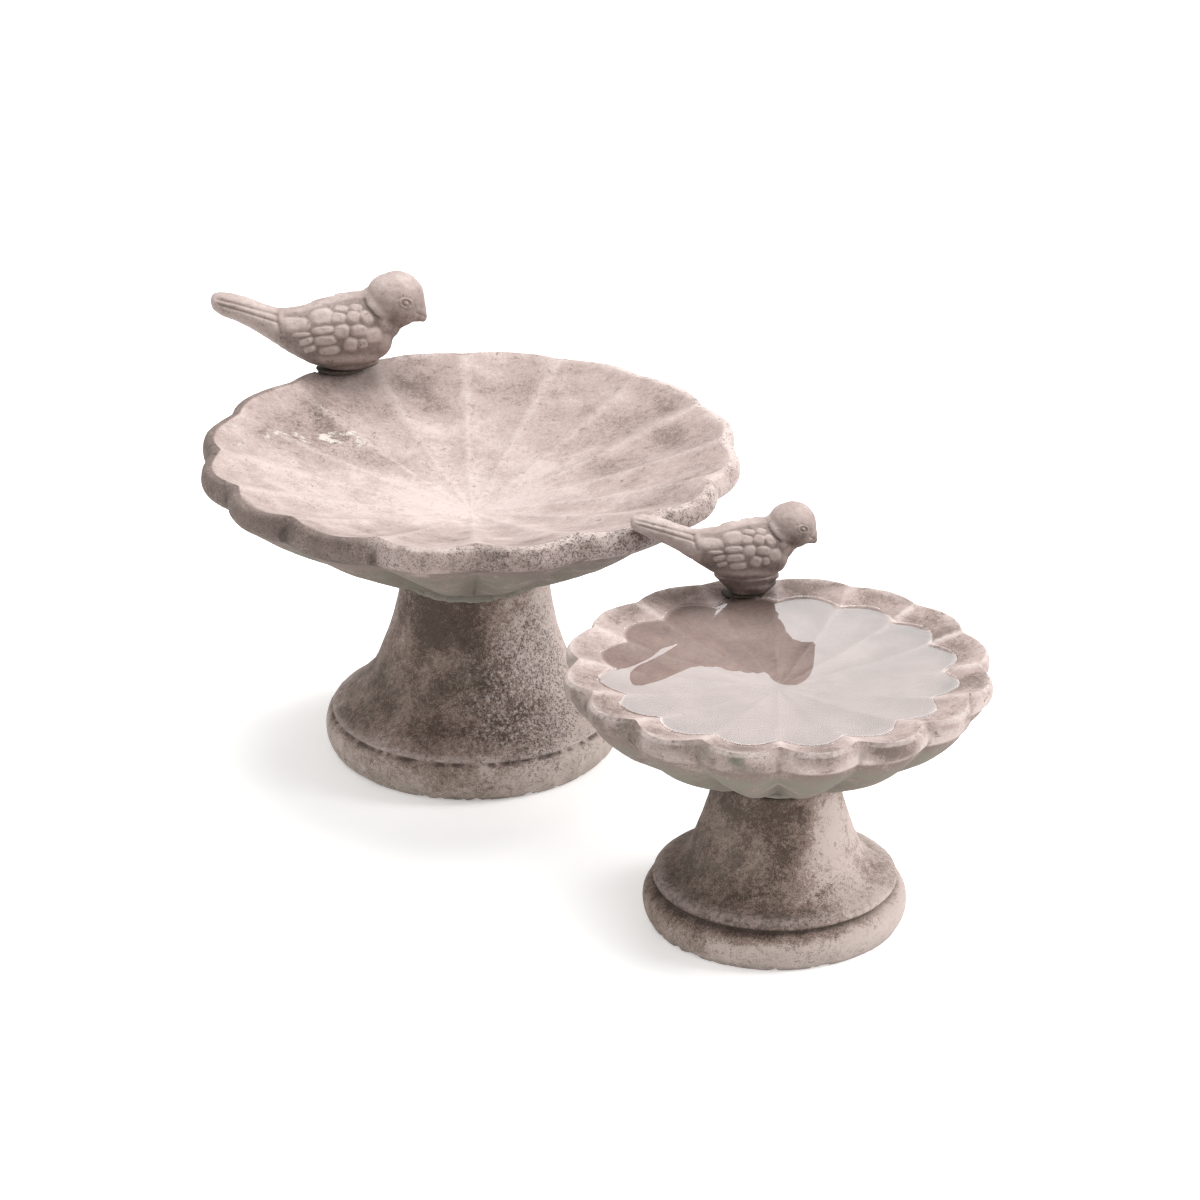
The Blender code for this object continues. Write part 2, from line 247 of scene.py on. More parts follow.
def curve_through(points, step):
    """Points about a step apart on a smooth curve through the given (radius, height) pairs."""
    ends = np.array([2 * np.array(points[0]) - points[1], *points, 2 * np.array(points[-1]) - points[-2]])
    found = []
    for i in range(1, len(ends) - 2):
        before, start, end, after = ends[i - 1:i + 3]
        count = max(1, int(round(np.linalg.norm(end - start) / step)))
        for share in np.arange(count) / count:
            bend = 2 * before - 5 * start + 4 * end - after
            twist = 3 * start - before - 3 * end + after
            found.append(start + 0.5 * ((end - before) * share + bend * share**2 + twist * share**3))
    return found + [ends[-2]]


def turned_faces(rings, steps, cap_start, cap_end, wrap=False):
    """Faces of a grid of rings. A cap is a point more that closes an end; wrap joins the two end rings."""
    ring, step = np.meshgrid(np.arange(rings if wrap else rings - 1), np.arange(steps), indexing="ij")
    after, following = (step + 1) % steps, (ring + 1) % rings
    corners = [ring * steps + step, following * steps + step, following * steps + after, ring * steps + after]
    faces = np.stack([c.ravel() for c in corners], axis=1).tolist()
    last, count = (rings - 1) * steps, rings * steps
    if cap_start:
        faces += [(count, i, (i + 1) % steps) for i in range(steps)]
        count += 1
    if cap_end:
        faces += [(count, last + (i + 1) % steps, last + i) for i in range(steps)]
    return faces


def add_mesh(name, points, faces):
    mesh = bpy.data.meshes.new(name)
    mesh.from_pydata(points.tolist(), [], faces)
    work = bmesh.new()
    work.from_mesh(mesh)
    bmesh.ops.recalc_face_normals(work, faces=work.faces)
    work.to_mesh(mesh)
    work.free()
    mesh.shade_smooth()
    obj = bpy.data.objects.new(name, mesh)
    bpy.context.scene.collection.objects.link(obj)
    return obj


def read(mesh, what):
    values = np.empty(len(mesh.vertices) * 3, np.float32)
    if what == "normal":
        mesh.vertex_normals.foreach_get("vector", values)
    else:
        mesh.vertices.foreach_get("co", values)
    return values.reshape(-1, 3).astype(float)


def move(mesh, points):
    mesh.vertices.foreach_set("co", points.astype(np.float32).ravel())
    mesh.update()


def push(obj, distance, node):
    """Moves each vertex along its normal, and keeps it in the box of its CAD node."""
    points = read(obj.data, "co") + read(obj.data, "normal") * distance[:, None]
    move(obj.data, np.clip(points, *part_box(node)))


def store(obj, **values):
    """Keeps numbers from 0 to 1 on the vertices, for the material. What is left out is 0."""
    for name in ("tone", "wear", "lime", "pitted", "soil", "moss", "wet"):
        value = np.clip(values.get(name, 0), 0, 1) * np.ones(len(obj.data.vertices))
        made = obj.data.attributes.new(name, "FLOAT", "POINT")
        made.data.foreach_set("value", value.astype(np.float32))


def refined(name, node, voxel, passes, lumps=(), shape=None):
    """A dense, smoothed copy of a CAD node. lumps are matrices that make balls, joined on, of a unit ball.

    shape, if any, moves the CAD node's vertices first.
    """
    work = bmesh.new()
    work.from_mesh(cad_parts[node].data)
    bmesh.ops.remove_doubles(work, verts=work.verts, dist=0.001 * MM)
    if shape:
        for vertex, place in zip(work.verts, shape(np.array([tuple(v.co) for v in work.verts]))):
            vertex.co = place
    for matrix in lumps:
        bmesh.ops.create_icosphere(work, subdivisions=4, radius=1, matrix=matrix)
    mesh = bpy.data.meshes.new(name)
    work.to_mesh(mesh)
    work.free()
    obj = bpy.data.objects.new(name, mesh)
    bpy.context.scene.collection.objects.link(obj)
    remesh = obj.modifiers.new("remesh", "REMESH")
    remesh.mode = "VOXEL"
    remesh.voxel_size = voxel
    relax = obj.modifiers.new("relax", "SMOOTH")
    relax.factor = 0.5
    relax.iterations = passes
    graph = bpy.context.evaluated_depsgraph_get()
    dense = bpy.data.meshes.new_from_object(obj.evaluated_get(graph))
    obj.modifiers.clear()
    obj.data = dense
    dense.shade_smooth()
    return obj


# ---------- materials ----------

class Nodes:
    """A short way to write a material's nodes."""

    def __init__(self, name):
        self.material = bpy.data.materials.new(name)
        self.material.use_nodes = True
        self.tree = self.material.node_tree
        self.tree.nodes.clear()
        self.output = self.tree.nodes.new("ShaderNodeOutputMaterial")
        self.shader = self.add("ShaderNodeBsdfPrincipled")
        self.tree.links.new(self.shader.outputs[0], self.output.inputs["Surface"])
        self.place = self.add("ShaderNodeTexCoord").outputs["Object"]

    def add(self, kind, inputs=None, **settings):
        made = self.tree.nodes.new(kind)
        for name, value in settings.items():
            setattr(made, name, value)
        for name, value in (inputs or {}).items():
            self.put(made.inputs[name], value)
        return made

    def put(self, socket, value):
        if isinstance(value, bpy.types.NodeSocket):
            self.tree.links.new(value, socket)
        elif isinstance(value, tuple) and len(value) == 3 and socket.type == "RGBA":
            socket.default_value = (*value, 1)
        else:
            socket.default_value = value

    def give(self, name, value):
        """Sets or links an input of the shader."""
        self.put(self.shader.inputs[name], value)

    def math(self, operation, first, second=0.0, clamp=False):
        made = self.add("ShaderNodeMath", {0: first, 1: second}, operation=operation, use_clamp=clamp)
        return made.outputs[0]

    def add_part(self, first, second, times, middle=0.0):
        """first + times * (second - middle)"""
        if middle:
            second = self.math("SUBTRACT", second, middle)
        return self.math("ADD", first, self.math("MULTIPLY", second, times))

    def stored(self, name):
        return self.add("ShaderNodeAttribute", attribute_name=name).outputs["Fac"]

    def noise(self, size, detail=4.0, roughness=0.55, warp=0.0):
        """Noise round 0.5 whose lumps are about size across."""
        inputs = {"Vector": self.place, "Scale": 1 / size, "Detail": detail}
        inputs |= {"Roughness": roughness, "Distortion": warp}
        return self.add("ShaderNodeTexNoise", inputs).outputs["Fac"]

    def cells(self, size):
        """Distance to the nearest of points about size apart."""
        inputs = {"Vector": self.place, "Scale": 1 / size}
        return self.add("ShaderNodeTexVoronoi", inputs).outputs["Distance"]

    def ramp(self, value, low, high):
        inputs = {"Value": value, "From Min": low, "From Max": high}
        return self.add("ShaderNodeMapRange", inputs, interpolation_type="SMOOTHSTEP").outputs["Result"]

    def blend(self, share, first, second, kind="MIX"):
        inputs = {"Factor": share, 6: first, 7: second}
        return self.add("ShaderNodeMix", inputs, data_type="RGBA", blend_type=kind).outputs[2]

    def bump(self, height, depth, strength=1.0):
        inputs = {"Height": height, "Distance": depth, "Strength": strength}
        return self.add("ShaderNodeBump", inputs).outputs["Normal"]


PALE = (0.52, 0.445, 0.42)
LIME = (0.56, 0.51, 0.45)
# A dark brown used for grime in pits and for painted shade in creases, under overhangs and under the birds.
SOIL_AND_SHADE = (0.045, 0.031, 0.024)
MOSS = (0.155, 0.147, 0.115)
PIT_SPACING = 1.5 * MM


def stone(name, light, middle, dark, grain=0.95, blotch=22 * MM):
    """Weathered cast stone. tone runs from dark to light, and the other stored numbers add to it."""
    make = Nodes(name)
    broad = make.noise(blotch, 5.0, 0.6, 0.4)
    fine = make.noise(2.6 * MM, 5.0, 0.7)
    speck = make.noise(0.7 * MM, 2.0, 0.6)
    mixed = make.add_part(make.stored("tone"), broad, 0.9, 0.5)
    mixed = make.add_part(mixed, fine, grain, 0.5)
    mixed = make.add_part(mixed, speck, grain, 0.5)
    color = make.blend(make.ramp(mixed, 0.0, 0.5), dark, middle)
    color = make.blend(make.ramp(mixed, 0.45, 1.0), color, light)

    moss = make.math("MULTIPLY", make.stored("moss"), make.ramp(make.noise(9 * MM, 4.0), 0.25, 0.6))
    color = make.blend(moss, color, MOSS)
    # Paler by one stored number that holds rubbed stone and painted light: crest highlights, the pedestals'
    # lit sides and the birds' upward faces.
    worn_and_lit = make.math("MULTIPLY", make.stored("wear"), make.ramp(fine, 0.2, 0.62))
    color = make.blend(worn_and_lit, color, PALE)
    crumbs = make.math("SUBTRACT", make.noise(2.4 * MM, 5.0, 0.75), 0.93)
    lime = make.math("ADD", make.stored("lime"), crumbs)
    lime = make.math("MULTIPLY", make.ramp(lime, 0.0, 0.2), 0.85)
    color = make.blend(lime, color, LIME)

    # Darkens by one stored number that holds grime and painted shade together.
    soil = make.add_part(make.stored("soil"), fine, 0.9, 0.5)
    soil = make.math("MULTIPLY", make.ramp(soil, 0.1, 0.95), make.ramp(make.stored("soil"), 0.0, 0.12))
    color = make.blend(make.math("MULTIPLY", soil, 0.85), color, SOIL_AND_SHADE)

    pitted = make.stored("pitted")
    open_share = make.math("MULTIPLY", pitted, 0.36)
    hole = make.math("SUBTRACT", make.add_part(open_share, speck, 0.12), make.cells(PIT_SPACING))
    hole = make.ramp(hole, -0.02, 0.1)
    worm = make.math("SUBTRACT", make.math("MULTIPLY", pitted, 0.16), make.noise(2.6 * MM, 3.0, 0.6, 1.6))
    worm = make.ramp(worm, -0.35, -0.25)
    hole = make.math("MAXIMUM", hole, make.math("MULTIPLY", worm, 0.8))
    color = make.blend(make.math("MULTIPLY", hole, 0.75), color, SOIL_AND_SHADE)
    grit = make.ramp(make.add_part(make.noise(2.2 * MM, 4.0, 0.75), pitted, 0.1), 0.55, 0.8)
    color = make.blend(make.math("MULTIPLY", grit, make.ramp(pitted, 0.05, 1.0)), color, PALE)

    wet = make.stored("wet")
    color = make.blend(wet, color, make.blend(1.0, color, (0.43, 0.38, 0.36), "MULTIPLY"))
    make.give("Base Color", color)
    rough = make.add_part(0.8, fine, 0.25, 0.5)
    rough = make.math("SUBTRACT", rough, make.math("MULTIPLY", wet, 0.35), clamp=True)
    make.give("Roughness", rough)
    make.give("Specular IOR Level", 0.28)

    height = make.math("MULTIPLY", hole, -1.0)
    for layer, times in ((speck, 0.22), (fine, 0.55), (lime, 0.5)):
        height = make.add_part(height, layer, times)
    make.give("Normal", make.bump(height, 0.55 * MM, 0.8))
    return make.material


def steel(name):
    """Drawn pin steel: fine scratches along it and a little rust."""
    make = Nodes(name)
    stretch = make.add("ShaderNodeMapping", {"Vector": make.place, "Scale": (1, 1, 0.05)})
    make.place = stretch.outputs[0]
    scratch = make.noise(0.25 * MM, 3.0)
    rust = make.ramp(make.noise(3 * MM, 5.0), 0.55, 0.7)
    color = make.blend(rust, make.blend(scratch, (0.36, 0.36, 0.37), (0.6, 0.6, 0.61)), (0.22, 0.09, 0.04))
    make.give("Base Color", color)
    make.give("Metallic", make.math("SUBTRACT", 1.0, rust))
    make.give("Roughness", make.add_part(0.25, rust, 0.5))
    make.give("Normal", make.bump(scratch, 0.02 * MM))
    return make.material


def water_material():
    """Still, clear water with a faint ripple and a little dust on it."""
    make = Nodes("water")
    make.give("Transmission Weight", 1.0)
    make.give("IOR", 1.333)
    dust = make.ramp(make.noise(14 * MM, 6.0, 0.65), 0.35, 0.75)
    make.give("Base Color", make.blend(dust, (0.99, 0.985, 0.98), (0.95, 0.93, 0.91)))
    make.give("Roughness", 0.0)
    make.give("Normal", make.bump(make.noise(25 * MM, 2.0), 0.1 * MM, 0.25))
    return make.material


# ---------- bowls ----------

def bowl_rings(bath):
    """Rings of the bowl from the basin's centre out, down and in to the spigot: (radius, height, region)."""
    rim, crest = bath["rim"], bath["crest"]
    edge, floor = bath["crest_share"] * rim, crest - bath["basin_depth"]
    hub = crest - bath["hub_drop"]
    shares = np.linspace(0.012, 1, BASIN_RINGS) ** 0.82
    inside = [(share * edge, floor + bath["basin_depth"] * share**BASIN_POWER) for share in shares]
    lip = [(share * rim, crest - drop * bath["hub_drop"]) for share, drop in LIP]
    under = [lip[-1]] + [(share * rim, crest - drop * bath["hub_drop"]) for share, drop in bath["under"]]
    under.append((HUB_SHARE * rim, hub))
    rings = [(r, z, "inside") for r, z in inside[:-1]]
    rings += [(r, z, "lip") for r, z in curve_through([inside[-1], *lip], 1.1 * MM)]
    rings += [(r, z, "under") for r, z in curve_through(under, 2.3 * MM)[1:]]
    reach = HUB_SHARE * rim * 0.4
    spigot = [(reach + 1 * MM, hub + 0.2 * MM), (reach, hub - 0.2 * MM), (reach, hub - SPIGOT_LENGTH)]
    return rings + [(r, z, "hub") for r, z in spigot]


def make_bowl(bath):
    rings = bowl_rings(bath)
    turn = turns(TURN_STEPS)
    rim, crest = bath["rim"], bath["crest"]
    edge, hub_radius = bath["crest_share"] * rim, HUB_SHARE * rim
    lobe = lobe_of(bath, turn)
    extra = (CREST_NOTCH - 1) * smooth(-0.5, 0.3, np.cos(turn))
    points, region = [], []
    for radius, height, kind in rings:
        share = min(radius / edge, 1)
        if kind == "inside":
            drawn = (1 + extra) * share**4
            level = basin_height(bath, radius, turn) - CREST_DIP * lobe * share**8
        else:
            fall = (crest - height) / bath["hub_drop"]
            high = max(0.0, 1 - fall / 0.16)
            drawn = max(0, min(1, (radius - hub_radius) / (0.35 * rim))) * (1 + extra * high)
            flute = FLUTE * (1 - lobe) * sin(pi * max(0, min(1, radius / rim - 0.31) / 0.66))
            level = height - CREST_DIP * lobe * high + flute * (kind == "under")
        reach = radius - bath["notch_depth"] * (1 - lobe) * drawn
        points.append(ring_at(turn, reach, level))
        region += [kind] * TURN_STEPS
    middle = [(0, 0, crest - bath["basin_depth"]), (0, 0, rings[-1][1])]
    points = np.concatenate([*points, middle]) + bath["axis"]
    region = np.array(region + ["inside", "hub"])
    node = f"{bath['name']}_bowl"
    obj = add_mesh(f"{node}_stone", points, turned_faces(len(rings), TURN_STEPS, True, True))

    flat = points - bath["axis"]
    radius, angle = np.hypot(flat[:, 0], flat[:, 1]), np.arctan2(flat[:, 0], -flat[:, 1])
    return obj, {
        "points": points,
        "share": radius / rim,
        "angle": np.degrees(angle),
        "lobe": lobe_of(bath, angle),
        "inside": region == "inside",
        "lip": region == "lip",
        "under": region == "under",
        "drop": (crest - points[:, 2]) / bath["hub_drop"],
    }


def sink_seat(obj, bath):
    """Lowers the stone under the bird to the seat's floor."""
    low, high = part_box(f"{bath['name']}_bird_mortar")
    middle, half = (low + high) / 2, (high - low) / 2
    points = read(obj.data, "co")
    away = np.hypot((points[:, 0] - middle.x) / half.x, (points[:, 1] - middle.y) / half.y)
    floor = bath["crest"] - bath["seat_drop"]
    sunk = (away < 1) & (points[:, 2] > floor)
    points[sunk, 2] = floor
    move(obj.data, points)


def rough_bowl(obj, facts, bath, pitted, seed):
    """Cast irregularity, small dents, pits, and a nibbled edge."""
    points = facts["points"]
    edge = np.exp(-((facts["drop"] - 0.01) / 0.03) ** 2) * facts["lip"]
    height = 0.45 * MM * fractal(points, 55 * MM, seed, 3)
    height += 0.2 * MM * fractal(points, 9 * MM, seed + 10, 3)
    height += 0.35 * MM * edge * fractal(points, 7 * MM, seed + 20, 3)
    holes = pits(points, 4.2 * MM, (0.8 * MM, 1.9 * MM), 0.5, seed + 30) * smooth(0.35, 0.9, pitted)
    height -= 0.8 * MM * holes + 0.25 * MM
    fade = smooth(HUB_SHARE * 0.95, HUB_SHARE * 1.25, facts["share"])
    push(obj, height * np.where(facts["inside"] | facts["lip"], 1, fade), f"{bath['name']}_bowl")
    return holes


def under_lip(drop):
    """The line of painted shade under the lip's lower edge."""
    return np.exp(-((drop - 0.225) / 0.03) ** 2)


def ribs_of(facts):
    """The ridges that run in from the notches: strongest halfway out, and gone at the centre."""
    ridge = smooth(0.32, 0.0, facts["lobe"])
    return ridge * smooth(0.1, 0.3, facts["share"]) * (0.75 + 0.5 * noise(facts["points"], 12 * MM, 77))


def large_bowl(bath):
    obj, facts = make_bowl(bath)
    points, share, angle, lobe = facts["points"], facts["share"], facts["angle"], facts["lobe"]
    inside, lip, under, drop = facts["inside"], facts["lip"], facts["under"], facts["drop"]

    def at(degrees, out, size):
        """A patch on the basin, its place as a share of the rim's radius."""
        radius = out * bath["rim"]
        height = basin_height(bath, radius, radians(degrees))
        return spot(points, around(bath, degrees, radius, height), size * MM)

    cloud = fractal(points, 38 * MM, 3, 4)
    patchy = fractal(points, 11 * MM, 5, 3)
    tone = 0.64 + 0.26 * smooth(0.55, 0.1, share) - 0.14 * lobe * smooth(0.35, 0.7, share)
    tone += 0.45 * cloud + 0.26 * patchy
    tone -= 0.04 * smooth(80, 125, np.abs(angle)) * smooth(0.35, 0.65, share) * lobe
    tone -= 0.08 * one_side(60, 100, angle) * smooth(0.4, 0.7, share)
    for degrees, out, size, strength in (
        (-133, 0.8, 15, 0.75), (-128, 0.68, 12, 0.5), (-110, 0.86, 12, 0.3), (-152, 0.57, 14, 0.34),
        (-169, 0.68, 18, 0.34), (-176, 0.78, 15, 0.26), (158, 0.6, 20, 0.3), (146, 0.66, 18, 0.22),
        (124, 0.8, 18, 0.25), (104, 0.78, 20, 0.25), (92, 0.84, 15, 0.25),
    ):
        tone -= 0.55 * strength * at(degrees, out, size) * (1 + patchy)
    tone += 0.12 * at(-85, 0.75, 45)
    # Painted light and shade, partly grime: the band is darker on the near left, turned from the side lamp,
    # and lighter to the front right and right, facing it. The underside is kept darker, painted shade under
    # the bowl.
    near_left = smooth(-10, -27, angle) * smooth(-150, -110, angle)
    right = one_side(60, 80, angle)
    band = 0.4 - 0.36 * near_left + 0.34 * one_side(4, 35, angle) + 0.1 * right + 0.4 * cloud + 0.45 * patchy
    below = 0.12 - 0.12 * near_left + 0.25 * cloud + 0.3 * patchy
    edge = near_left * smooth(-75, -50, angle) * smooth(0.915, 0.95, share)
    tone = np.where(inside, tone - 0.5 * edge, np.where(lip, band, below))

    crest_line = np.exp(-((share - bath["crest_share"]) / 0.022) ** 2) * (drop < 0.035)
    # Paler on the ribs and along the crest: partly rubbed stone, partly a painted highlight, which fades on
    # the shaded near left.
    wear = np.where(inside, 0.4 * ribs_of(facts), 0)
    wear += 0.5 * crest_line * (1 + patchy) * (1 - 0.95 * near_left)
    wear += 0.4 * smooth(0.4, 0.0, share) * inside
    lime = 0.36 * at(-126, 0.62, 13) + 0.3 * at(-131, 0.54, 11)
    lime += 0.34 * at(-112, 0.68, 20) + 0.34 * at(-100, 0.86, 26)
    lime *= 1 + 1.6 * fractal(points, 5 * MM, 15, 3)
    lime += lip * 0.3 * one_side(5, 40, angle)
    pitted = lip * (0.55 + 0.45 * one_side(-20, 30, angle) - 0.4 * right)
    pitted += inside * (0.6 * at(-125, 0.62, 20) + 0.45 * at(-131, 0.75, 14) + 0.12)
    pitted += under * 0.3
    pitted *= 0.7 + 0.5 * fractal(points, 14 * MM, 61, 3)
    notch = smooth(0.16, 0.0, lobe)
    # Painted shade in the band's notches, in the creases under the bowl, under the lip and towards the hub
    # underneath. On the near-left band it is partly grime, partly painted shade.
    soil = 0.45 * lip * notch * (1 + 1.5 * patchy) * smooth(0.02, 0.16, drop)
    soil += 0.42 * lip * near_left * (1 + patchy) + 0.3 * inside * edge
    soil += under_lip(drop) * 0.35 * ~inside + under * (0.3 * notch + 0.3 * smooth(0.55, 0.32, share))
    soil += inside * 0.16 * at(-133, 0.8, 12)
    moss = 0.75 * under * smooth(0.24, 0.4, drop) + 0.3 * lip * near_left * smooth(0.1, 0.2, drop)
    holes = rough_bowl(obj, facts, bath, pitted, 100)
    sink_seat(obj, bath)
    store(obj, tone=tone, wear=wear, lime=lime, pitted=pitted, soil=soil + 0.8 * holes, moss=moss)
    return obj


def small_bowl(bath, level):
    obj, facts = make_bowl(bath)
    points, share, angle, lobe = facts["points"], facts["share"], facts["angle"], facts["lobe"]
    inside, lip, under, drop = facts["inside"], facts["lip"], facts["under"], facts["drop"]
    cloud = fractal(points, 26 * MM, 8, 4)
    patchy = fractal(points, 9 * MM, 9, 3)
    tone = 0.54 + 0.16 * smooth(0.5, 0.1, share) - 0.3 * lobe * smooth(0.6, 0.9, share)
    tone += 0.42 * cloud + 0.2 * patchy
    tone += 0.16 * smooth(-60, -100, angle) * smooth(-150, -120, angle)
    tone -= 0.16 * smooth(120, 150, np.abs(angle)) * smooth(0.85, 0.92, share)
    # Painted light and shade, partly grime: the band is darker on the near left, turned from the side lamp,
    # and lighter to the right, facing it. The underside is kept darker, painted shade under the bowl.
    near_left = smooth(5, -25, angle) * smooth(-115, -90, angle)
    band = 0.62 - 0.3 * near_left + 0.2 * one_side(25, 60, angle) + 1.5 * fractal(points, 22 * MM, 18, 3)
    below = 0.02 + 0.2 * cloud + 0.25 * patchy
    tone = np.where(inside, tone, np.where(lip, band, below))
    # Paler on the ribs and along the crest: partly rubbed stone, partly a painted highlight.
    crest_line = np.exp(-((share - bath["crest_share"]) / 0.03) ** 2) * (drop < 0.045)
    wear = inside * ribs_of(facts) * (0.3 + 0.55 * smooth(0.5, 0.8, share)) + 0.7 * crest_line
    notch = smooth(0.16, 0.0, lobe)
    # Painted shade in the band's notches, in the creases under the bowl, under the lip and towards the hub
    # underneath. On the near-left band it is partly grime, partly painted shade.
    soil = 0.42 * lip * notch * (1 + 1.5 * patchy) * smooth(0.03, 0.18, drop)
    soil += 0.1 * lip * near_left * (1 + 2.5 * patchy)
    soil += under * (0.25 * notch + 0.3 * smooth(0.55, 0.32, share)) + under_lip(drop) * 0.3 * ~inside
    tidemark = np.exp(-((points[:, 2] - level) / (1.2 * MM)) ** 2) * (fractal(points, 9 * MM, 28, 2) > 0.1)
    soil += 0.3 * inside * tidemark
    pitted = 0.34 * lip + 0.3 * inside * smooth(0.82, 0.95, share) + 0.1 * under
    pitted *= 0.7 + 0.8 * fractal(points, 15 * MM, 38, 3)
    moss = 0.8 * under * smooth(0.24, 0.36, drop) + 0.35 * lip * near_left
    lichen = spot(points, around(bath, -12.6, bath["rim"], bath["crest"] - 5 * MM), 4.5 * MM)
    moss += 1.2 * lichen
    wet = smooth(level + 0.8 * MM, level - 0.4 * MM, points[:, 2]) * inside
    holes = rough_bowl(obj, facts, bath, pitted, 200)
    sink_seat(obj, bath)
    soil += 0.6 * holes
    store(obj, tone=tone, wear=wear, lime=0.35 * lichen, pitted=pitted, soil=soil, moss=moss, wet=wet)
    return obj


# ---------- pedestals ----------

def pedestal_outline(node, axis):
    """The outer outline of a pedestal, top to bottom, as the CAD solid has it: (radius, height)."""
    points = vertices_of(node) - axis
    radius = np.hypot(points[:, 0], points[:, 1])
    outer = radius > 0.4 * radius.max()
    levels = np.unique(np.round(points[outer, 2], 5))[::-1]
    return [(radius[outer & (np.abs(points[:, 2] - z) < 0.02 * MM)].max() - SKIN, z) for z in levels]


def make_pedestal(bath, groove_share, seed, pit_spots, lean=0.0):
    """groove_share is the groove's height as a share of the whole. The neck leans aside by lean."""
    node = f"{bath['name']}_pedestal"
    outline = pedestal_outline(node, bath["axis"])
    outer = curve_through(outline, 1.5 * MM)
    socket = 0.45 * outline[0][0]
    rings = [(socket, bath["neck"] - SPIGOT_LENGTH), (socket, bath["neck"])]
    rings += [(r, bath["neck"]) for r in np.linspace(socket, outline[0][0] - 1 * MM, 5)[1:]]
    first = len(rings)
    rings += outer + [(r, 0) for r in (0.97 * outer[-1][0], 0.6 * outer[-1][0])]
    turn = turns(TURN_STEPS)
    middle = [(0, 0, rings[0][1]), (0, 0, 0)]
    points = np.concatenate([*(ring_at(turn, r, z) for r, z in rings), middle]) + bath["axis"]
    points[:, 0] += lean * smooth(0.35, 1.0, points[:, 2] / bath["neck"])
    obj = add_mesh(f"{node}_stone", points, turned_faces(len(rings), TURN_STEPS, True, True))

    ring = np.append(np.repeat(np.arange(len(rings)), TURN_STEPS), [0, len(rings)])
    outside = (ring >= first) & (ring < first + len(outer))
    flat = points - bath["axis"]
    angle, height = np.degrees(np.arctan2(flat[:, 0], -flat[:, 1])), points[:, 2]
    groove = np.exp(-((height - groove_share * bath["neck"]) / GROOVE_WIDTH) ** 2) * outside
    foot = smooth(5 * MM, 0, height) * outside
    pitted = np.zeros(len(points))
    for degrees, share, size, strength in pit_spots:
        radius = np.interp(share * bath["neck"], [z for _, z in outline][::-1], [r for r, _ in outline][::-1])
        pitted += strength * spot(points, around(bath, degrees, radius, share * bath["neck"]), size * MM)
    bump = 0.5 * MM * fractal(points, 50 * MM, seed, 3) + 0.22 * MM * fractal(points, 10 * MM, seed + 10, 3)
    bump -= 0.7 * MM * pits(points, 4 * MM, (0.6 * MM, 1.6 * MM), 0.5, seed + 20) * smooth(0.3, 0.9, pitted)
    bump -= 0.5 * MM * groove * (1 + fractal(points, 5 * MM, seed + 30, 2))
    bump -= 1.1 * MM * foot * smooth(0.05, 0.5, fractal(points, 7 * MM, seed + 40, 3))
    push(obj, bump * outside, node)
    facts = {"points": points, "angle": angle, "share": height / bath["neck"]}
    return obj, facts | {"groove": groove, "foot": foot, "pitted": pitted}


def large_pedestal(bath):
    spots = (
        (38, 0.6, 28, 0.8), (44, 0.42, 26, 0.85), (22, 0.33, 24, 0.6), (60, 0.8, 18, 0.35),
        (-52, 0.93, 9, 0.6),
    )
    obj, facts = make_pedestal(bath, 0.215, 300, spots, NECK_LEAN)
    points, angle, share = facts["points"], facts["angle"], facts["share"]
    at = patches(bath, points)
    cloud = fractal(points, 34 * MM, 306, 4)
    patchy = fractal(points, 9 * MM, 308, 3)
    # Painted light and shade: lighter on the right and front right, facing the side lamp, and at the left
    # edge. Darker on the left of the middle, and at the front of the top, in the shade under the bowl.
    tone = 0.26 + 0.36 * one_side(30, 85, angle) + 0.16 * one_side(-50, -85, angle)
    tone += 0.26 * cloud + 0.3 * patchy
    tone += 0.54 * one_side(5, 35, angle) + 0.2 * smooth(0.35, 0.2, share)
    tone -= 0.08 * smooth(0.35, 0.55, share) * smooth(15, -5, angle)
    tone += 0.26 * smooth(0.22, 0.15, share) * one_side(-10, -60, angle)
    tone += 0.16 * smooth(0.3, 0.1, share) - 0.22 * smooth(0.72, 1.0, share) * smooth(60, 20, np.abs(angle))
    tone += 0.22 * at(-20, 52, 62, 16)
    tone -= 0.25 * at(25, 64, 38, 26)
    tone -= 0.2 * at(-28, 45, 92, 14)
    wear = 0.5 * np.exp(-((share - 0.235) / 0.012) ** 2)
    # Painted light: paler up the right side, facing the side lamp.
    wear += 0.35 * one_side(60, 95, angle) * smooth(0.4, 0.9, share)
    soil = 0.85 * facts["groove"] * smooth(-0.5, 0.3, noise(points, 4 * MM, 316))
    soil += 0.5 * smooth(0.955, 1.0, share) + 0.35 * facts["foot"]
    pitted = facts["pitted"] + 0.22 + 0.2 * fractal(points, 16 * MM, 326, 3)
    moss = 0.45 * smooth(0.25, 0.0, share) + 0.25 * at(-60, 60, 50, 40)
    moss += 0.2 * at(-10, 50, 68, 20)
    store(obj, tone=tone, wear=wear, lime=0.1, pitted=pitted, soil=soil, moss=moss)
    return obj


